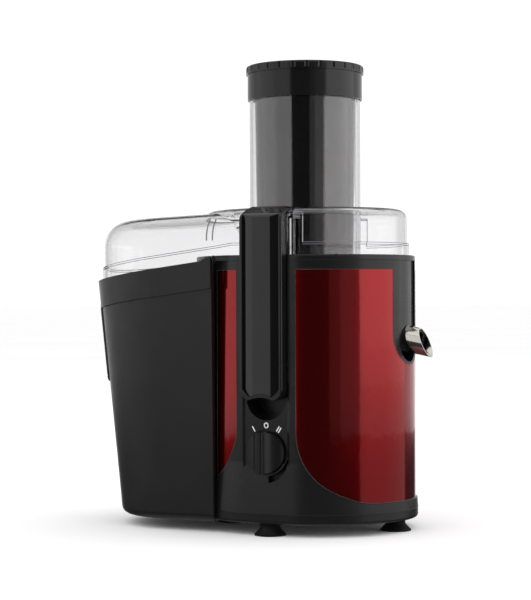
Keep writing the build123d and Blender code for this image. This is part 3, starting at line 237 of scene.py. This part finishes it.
SATIN = (0.0045, 0.0045, 0.0045)
FINISH = {
    "housing_black": moulded("satin_black", SATIN, 0.30),
    "collector_black": moulded("satin_black_rim", SATIN, 0.26),
    "panel_red": lacquer("red_lacquer", (0.33, 0.004, 0.006)),
    "foot_rubber": rubber("foot_rubber", (0.003, 0.003, 0.003)),
    "clear_plastic": clear("clear_plastic"),
    "pusher_smoke": polished("smoked_plastic", (0.135, 0.13, 0.127), 0.06, 1.0, 0.3),
    "cap_black": moulded("cap_black", (0.0035, 0.0035, 0.0035), 0.16, grain_depth=0.006),
    "clamp_black": moulded("clamp_black", (0.004, 0.004, 0.004), 0.2, grain_depth=0.006),
    "clamp_gloss": polished("piano_black", (0.0025, 0.0025, 0.0027), 0.05, 0.0, 0.3),
    "pin_steel": metal("ground_steel", (0.56, 0.56, 0.57), 0.25),
    "knob_black": moulded("knob_black", (0.004, 0.004, 0.004), 0.3, grain_depth=0.01),
    "container_black": moulded("container_grey", (0.006, 0.006, 0.0058), 0.33, grain=1900, grain_depth=0.015),
    "spout_steel": metal("spout_steel", (0.86, 0.82, 0.76), 0.12, (1, 1, 0.2), 1400, 0.002),
    "mesh_steel": metal("grater_steel", (0.62, 0.62, 0.62), 0.28),
    "basket_plastic": moulded("basket_grey", (0.05, 0.05, 0.053), 0.45),
    "seal_rubber": rubber("seal_rubber", (0.014, 0.014, 0.014)),
    "motor_iron": metal("laminated_iron", (0.24, 0.24, 0.25), 0.45, (0.05, 0.05, 1), 2600, 0.03),
    "motor_copper": metal("enamelled_copper", (0.62, 0.27, 0.10), 0.3, (1, 1, 0.1), 1500, 0.05),
    "bracket_alloy": metal("cast_alloy", (0.55, 0.55, 0.56), 0.5, (1, 1, 1), 600, 0.05),
    "bearing_steel": metal("bearing_steel", (0.6, 0.6, 0.62), 0.18),
    "fan_plastic": moulded("filled_plastic", (0.12, 0.12, 0.12), 0.5),
    "carbon": rubber("pressed_carbon", (0.03, 0.03, 0.03)),
    "capacitor_case": moulded("capacitor_case", (0.3, 0.3, 0.27), 0.5),
}
for subpart in frame["record"]["subparts"]:
    carried = nodes[subpart["node"]]
    carried.data.materials.clear()
    carried.data.materials.append(FINISH[subpart["material_slot"]])
nodes["filter_mesh"].data.materials[0] = perforated("perforated_steel", (0.62, 0.62, 0.62))

# --- Dial marks: flat prints on the strip round the knob --------------------------------------------
PRINT = moulded("pale_print", (0.72, 0.72, 0.72), 0.5)
PRINT_THICKNESS = 0.00012
MARK_HEIGHT = 0.0048
MARK_STROKE = 0.0009
MARK_PITCH = 2.2 * MARK_STROKE
RING_WIDTH = 0.88 * MARK_HEIGHT


def dial_mark(name, x, z, leaning, strokes, ringed):
    """Strokes side by side, or a ring, leaning by an angle and standing just proud of the strip."""
    face = touch("base_housing", Vector((x, AXIS.y - CLEAR_OF_ALL, z)), (0, 1, 0))
    form = bmesh.new()
    if ringed:
        rims = [bmesh.ops.create_circle(form, segments=40, radius=1.0)["verts"] for _ in range(2)]
        for rim, grow in zip(rims, (0, -MARK_STROKE)):
            bmesh.ops.scale(form, vec=(RING_WIDTH / 2 + grow, MARK_HEIGHT / 2 + grow, 1), verts=rim)
        bmesh.ops.bridge_loops(form, edges=form.edges[:])
    for stroke in range(strokes):
        middle = (stroke - (strokes - 1) / 2) * MARK_PITCH
        across = MARK_STROKE / 2
        corners = ((-across, -1), (across, -1), (across, 1), (-across, 1))
        form.faces.new([form.verts.new((middle + side, end * MARK_HEIGHT / 2, 0)) for side, end in corners])
    print_sheet = bmesh.ops.extrude_face_region(form, geom=form.faces[:])["geom"]
    lifted = [item for item in print_sheet if isinstance(item, bmesh.types.BMVert)]
    bmesh.ops.translate(form, vec=(0, 0, PRINT_THICKNESS), verts=lifted)
    bmesh.ops.recalc_face_normals(form, faces=form.faces[:])
    upright = Matrix.Rotation(leaning, 3, "Y") @ Matrix.Rotation(radians(90), 3, "X")
    bmesh.ops.rotate(form, cent=(0, 0, 0), matrix=upright, verts=form.verts[:])
    bmesh.ops.translate(form, vec=(x, face.y, z), verts=form.verts[:])
    mesh = bpy.data.meshes.new(name)
    form.to_mesh(mesh)
    form.free()
    mesh.materials.append(PRINT)
    add_piece(name, mesh, "root")


MARK_GAP = 0.0049
MARK_RADIUS = KNOB_RADIUS + MARK_GAP
MARK_TURN = 31.0
for mark_name, turned, bars, is_ring in (("dial_mark_low", -1, 1, False), ("dial_mark_off", 0, 0, True),
                                         ("dial_mark_high", 1, 2, False)):
    angle = radians(turned * MARK_TURN)
    dial_mark(mark_name, KNOB.x + MARK_RADIUS * sin(angle), KNOB.z + MARK_RADIUS * cos(angle), angle,
              bars, is_ring)

# --- Rounded edges: a fine bead on the panels, the lid's ledge, the container and the top rims; some are coloured as painted highlight or shade ---
BEAD_RADIUS = 0.00028
SHARP_EDGE = radians(55)
SAME_PLACE = 1e-6
LOOKS_OUT = 0.7
LEDGE_LOOKS_OUT = 0.6
LOOKS_UP = 0.8
LOOKS_DOWN = -0.6


def edge_bead(name, node, keep, finish, radius=BEAD_RADIUS, drop=0.0, body="root"):
    """A fine rounded bead along, or a little below, those sharp edges of a CAD node that a test keeps."""
    form = bmesh.new()
    form.from_mesh(nodes[node].data)
    bmesh.ops.remove_doubles(form, verts=form.verts[:], dist=SAME_PLACE)
    edges = [edge for edge in form.edges if len(edge.link_faces) == 2
             and edge.calc_face_angle() > SHARP_EDGE and keep(edge)]
    curve = bpy.data.curves.new(name, "CURVE")
    curve.dimensions = "3D"
    curve.bevel_depth = radius
    curve.bevel_resolution = 2
    while edges:
        first = edges.pop()
        chain = list(first.verts)
        grown = True
        while grown:
            grown = False
            for edge in edges:
                if chain[-1] in edge.verts:
                    chain.append(edge.other_vert(chain[-1]))
                elif chain[0] in edge.verts:
                    chain.insert(0, edge.other_vert(chain[0]))
                else:
                    continue
                edges.remove(edge)
                grown = True
                break
        line = curve.splines.new("POLY")
        line.points.add(len(chain) - 1)
        for point, corner in zip(line.points, chain):
            point.co = (corner.co.x, corner.co.y, corner.co.z - drop, 1)
    form.free()
    curve.materials.append(finish)
    add_piece(name, curve, body)


def middle_of(edge):
    """The middle of an edge."""
    return (edge.verts[0].co + edge.verts[1].co) / 2


def on_outer_face(edge):
    """Whether an edge borders the face that looks away from the motor axis."""
    out = ((middle_of(edge) - AXIS) * LEVEL).normalized()
    return max(face.normal.dot(out) for face in edge.link_faces) > LOOKS_OUT


# Painted highlight: the panel edge beads are a lighter grey than the black housing and stand in for the
# bright line a rounded edge catches; their colour drift is random
PAINTED_HIGHLIGHT_LIP = moulded("painted_highlight_lip", (0.035, 0.032, 0.032), 0.2, grain_depth=0.006, spread=0.3)
for panel in ("front_left_panel", "rear_left_panel", "spout_side_panel"):
    edge_bead(panel + "_bead", panel, on_outer_face, PAINTED_HIGHLIGHT_LIP)

# Painted shade: the opaque grey-violet of the lid's ledge beads and hood ribs stands in for the dark lines
# that refraction draws along the clear plastic's edges
LID_EDGE_SHADE = moulded("painted_refraction_shade", (0.17, 0.165, 0.18), 0.25, grain_depth=0.006)
LEDGE_THICKNESS = 0.0017
LEDGE_RADIUS = 0.0002
HOOD_OFFSET = 0.109


def on_hood_ledge(edge):
    """Whether an edge belongs to the ledge that runs round the hood and the round cover."""
    from_axis = middle_of(edge) - AXIS
    if from_axis.x <= -HOOD_OFFSET:
        from_axis.x += HOOD_OFFSET
    outward = (from_axis * LEVEL).normalized()
    normals = [face.normal for face in edge.link_faces]
    looks_out = max(normal.dot(outward) for normal in normals) > LEDGE_LOOKS_OUT
    looks_up = max(normal.z for normal in normals) > LOOKS_UP
    return looks_out and looks_up


for ledge_name, lowered in (("lid_ledge_top", 0.0), ("lid_ledge_foot", LEDGE_THICKNESS)):
    edge_bead(ledge_name, "lid_cover", on_hood_ledge, LID_EDGE_SHADE, LEDGE_RADIUS, lowered)

CONTAINER_FOOT = 0.1
APRON_START = 0.08
RIM_DEPTH = 0.0005


def on_band_foot(edge):
    """Whether an edge belongs to the lower edge of the band or the grip pad round the container."""
    looks_down = min(face.normal.z for face in edge.link_faces) < LOOKS_DOWN
    return looks_down and edge.verts[0].co.z > CONTAINER_FOOT and on_outer_face(edge)


def on_apron(edge):
    """Whether an edge outlines the collector's apron in the frame's slot."""
    middle = middle_of(edge)
    return middle.x > AXIS.x + APRON_START and middle.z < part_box("upper_frame")[1].z and on_outer_face(edge)


edge_bead("apron_seam", "juice_collector", on_apron, FINISH["clamp_gloss"])
# Painted shadow: a darker glossy bead along the band's lower edge stands in for the shadow line under the
# band's overhang
edge_bead("container_band_shadow_bead", "pulp_container", on_band_foot, FINISH["clamp_gloss"],
          body="container")


def on_top_rim(node):
    """A test for the outer edges at the top of a node."""
    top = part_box(node)[1].z

    def keep(edge):
        return min(corner.co.z for corner in edge.verts) > top - RIM_DEPTH and on_outer_face(edge)

    return keep


for rim_node in ("upper_frame", "base_tray"):
    edge_bead(rim_node + "_bead", rim_node, on_top_rim(rim_node), FINISH["housing_black"])

# --- Hood joint: two upright ribs on each side, where the hood meets the round cover -----------------
RIB_RADIUS = 0.0006
RIB_STEPS = 7
RIB_NEAR = 0.052
RIB_FAR = 0.0575
RIB_FOOT_GAP = 0.0125
RIB_TOP_GAP = 0.0085
rib_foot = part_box("juice_collector")[1].z + RIB_FOOT_GAP
rib_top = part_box("lid_cover")[1].z - RIB_TOP_GAP
for rib_name, rib_place in (("hood_rib_near", RIB_NEAR), ("hood_rib_far", RIB_FAR)):
    for side_name, side in (("front", -1), ("rear", 1)):
        rib = bpy.data.curves.new(f"{rib_name}_{side_name}", "CURVE")
        rib.dimensions = "3D"
        rib.bevel_depth = RIB_RADIUS
        rib.bevel_resolution = 3
        rib_line = rib.splines.new("POLY")
        rib_line.points.add(RIB_STEPS)
        for step, point in enumerate(rib_line.points):
            level = rib_foot + (rib_top - rib_foot) * step / RIB_STEPS
            start = Vector((AXIS.x - rib_place, AXIS.y + side * CLEAR_OF_ALL, level))
            point.co = (*touch("lid_cover", start, (0, -side, 0)), 1)
        # Painted shade: the ribs' opaque grey stands in for the dark refraction lines at the hood joint
        rib.materials.append(LID_EDGE_SHADE)
        add_piece(rib.name, rib, "root")

# --- Stage ----------------------------------------------------------------------------------------
FLOOR_REACH = 60.0
floor_mesh = bpy.data.meshes.new("studio_floor")
floor_form = bmesh.new()
bmesh.ops.create_circle(floor_form, cap_ends=True, segments=64, radius=FLOOR_REACH)
floor_form.to_mesh(floor_mesh)
floor_form.free()
floor = bpy.data.objects.new("studio_floor", floor_mesh)
bpy.context.scene.collection.objects.link(floor)
floor_material, floor_shader, add_floor, link_floor = shader("studio_floor")
floor_drift = noise(add_floor, object_place(add_floor), 1.5)
floor_colour = tint(add_floor, floor_drift, (0.87, 0.87, 0.87), (0.89, 0.89, 0.89))
link_floor(floor_colour, floor_shader.inputs["Base Color"])
floor_shader.inputs["Roughness"].default_value = 0.9
floor_shader.inputs["Specular IOR Level"].default_value = 0.0
floor_mesh.materials.append(floor_material)
floor.visible_glossy = False
floor.visible_shadow = False

# --- Light: a white room that polished faces see as dim, with tall soft boxes round the object -------
CAMERA_AZIMUTH = 25.0
BOX_DISTANCE = 2.2
BOX_BOTTOM = -0.08
BOX_TOP = 2.1
DARK_SEEN = 0.03
ROOM_SEEN = 0.8
FLOOR_SEEN = 0.35
ROOM_STRENGTH = 1.12
STEEP_FROM, STEEP_TO = 0.60, 0.76
BACKWARD_FROM, BACKWARD_TO = 0.90, 0.95
SOFT_BOXES = (
    ("left_front", -66, -30, 0.62),
    ("left_side", -112, -66, 0.78),
    ("left_back", -158, -112, 0.55),
    ("right_dark", 9, 20, 0.10),
    ("right_dim", 20, 41, 0.22),
    ("right_front", 41, 78, 1.2),
    ("right_side", 78, 114, 1.25),
    ("right_back", 114, 158, 0.7),
)
# Two boxes fade towards the floor; each step has its top, its bottom and its share of the radiance
FADED = ("right_front", "right_side")
FADE = ((BOX_TOP, 0.10, 1.0), (0.10, 0.02, 0.82), (0.02, BOX_BOTTOM, 0.58), (BOX_BOTTOM, -0.75, 0.28))
PLAIN = ((BOX_TOP, BOX_BOTTOM, 1.0),)


def round_about(azimuth, distance, height):
    """A point round the motor axis; azimuth 0 is -Y and positive turns towards +X."""
    turn = radians(azimuth)
    return AXIS + Vector((distance * sin(turn), -distance * cos(turn), height))


def soft_box(name, low, high, radiance, top, bottom):
    """A soft box of a given radiance between two azimuths, facing the object and hidden from the camera."""
    light = bpy.data.lights.new(name, "AREA")
    light.shape = "RECTANGLE"
    light.size = 2 * BOX_DISTANCE * tan(radians((high - low) / 2))
    light.size_y = top - bottom
    light.energy = radiance * pi * light.size * light.size_y
    lamp = bpy.data.objects.new(name, light)
    bpy.context.scene.collection.objects.link(lamp)
    middle = (top + bottom) / 2
    lamp.location = round_about((low + high) / 2, BOX_DISTANCE, middle)
    aim = AXIS + Vector((0, 0, middle)) - lamp.location
    lamp.rotation_euler = aim.to_track_quat("-Z", "Y").to_euler()
    lamp.visible_camera = False


for box_name, box_low, box_high, box_radiance in SOFT_BOXES:
    for step, (top, bottom, share) in enumerate(FADE if box_name in FADED else PLAIN):
        soft_box(f"{box_name}_{step}", CAMERA_AZIMUTH + box_low, CAMERA_AZIMUTH + box_high,
                 share * box_radiance, top, bottom)

world = bpy.data.worlds.new("white_room")
bpy.context.scene.world = world
world.use_nodes = True
world_nodes, world_links = world.node_tree.nodes, world.node_tree.links


def add_world(kind, links=(), **values):
    """A new world node with its settings and links."""
    node = world_nodes.new(kind)
    for key, value in values.items():
        setattr(node, key, value)
    for key, source in dict(links).items():
        world_links.new(source, node.inputs[key])
    return node


def world_range(value, from_low, from_high, low, high):
    """A world value carried from one range to another, and held at its ends."""
    made = add_world("ShaderNodeMapRange", {"Value": value})
    for key, number in (("From Min", from_low), ("From Max", from_high), ("To Min", low), ("To Max", high)):
        made.inputs[key].default_value = number
    return made.outputs["Result"]


# Reflections see the room bright only steeply overhead, less so underneath, and behind the object
direction = add_world("ShaderNodeTexCoord").outputs["Generated"]
backward = add_world("ShaderNodeVectorMath", {0: direction}, operation="DOT_PRODUCT")
backward.inputs[1].default_value = AXIS - round_about(CAMERA_AZIMUTH, 1, 0)
behind = world_range(backward.outputs["Value"], BACKWARD_FROM, BACKWARD_TO, 0, 1)
height = add_world("ShaderNodeSeparateXYZ", {"Vector": direction}).outputs["Z"]
overhead = world_range(height, STEEP_FROM, STEEP_TO, 0, 1)
underneath = world_range(height, -STEEP_FROM, -STEEP_TO, 0, FLOOR_SEEN)
steep = add_world("ShaderNodeMath", {0: overhead, 1: underneath}, operation="ADD")
lit = add_world("ShaderNodeMath", {0: behind, 1: steep.outputs["Value"]}, operation="MAXIMUM")
brightness = world_range(lit.outputs["Value"], 0, 1, DARK_SEEN, ROOM_SEEN)
ray = add_world("ShaderNodeLightPath")
reflected = add_world("ShaderNodeMath", {0: ray.outputs["Glossy Depth"]}, operation="GREATER_THAN")
reflected.inputs[1].default_value = 0.5
strength = add_world("ShaderNodeMix", {"Factor": reflected.outputs["Value"], 3: brightness})
strength.inputs[2].default_value = ROOM_STRENGTH
room = world_nodes["Background"]
room.inputs["Color"].default_value = (1, 1, 1, 1)
world_links.new(strength.outputs["Result"], room.inputs["Strength"])
bpy.context.scene.view_settings.view_transform = "Standard"

# --- Camera ---------------------------------------------------------------------------------------
CAMERA_DISTANCE = 1.540
CAMERA_ASIDE = 0.0342
CAMERA_HEIGHT = 0.1929
CAMERA_ROLL = -0.2
camera_data = bpy.data.cameras.new("camera")
camera_data.lens = 108.0
camera_data.sensor_width = 36.0
camera = bpy.data.objects.new("camera", camera_data)
bpy.context.scene.collection.objects.link(camera)
turn = radians(CAMERA_AZIMUTH)
aside = Vector((cos(turn), sin(turn), 0))
camera.location = round_about(CAMERA_AZIMUTH, CAMERA_DISTANCE, CAMERA_HEIGHT) - CAMERA_ASIDE * aside
level_view = Matrix.Rotation(turn, 3, "Z") @ Matrix.Rotation(radians(90), 3, "X")
camera.rotation_euler = (level_view @ Matrix.Rotation(radians(CAMERA_ROLL), 3, "Z")).to_euler()
bpy.context.scene.camera = camera
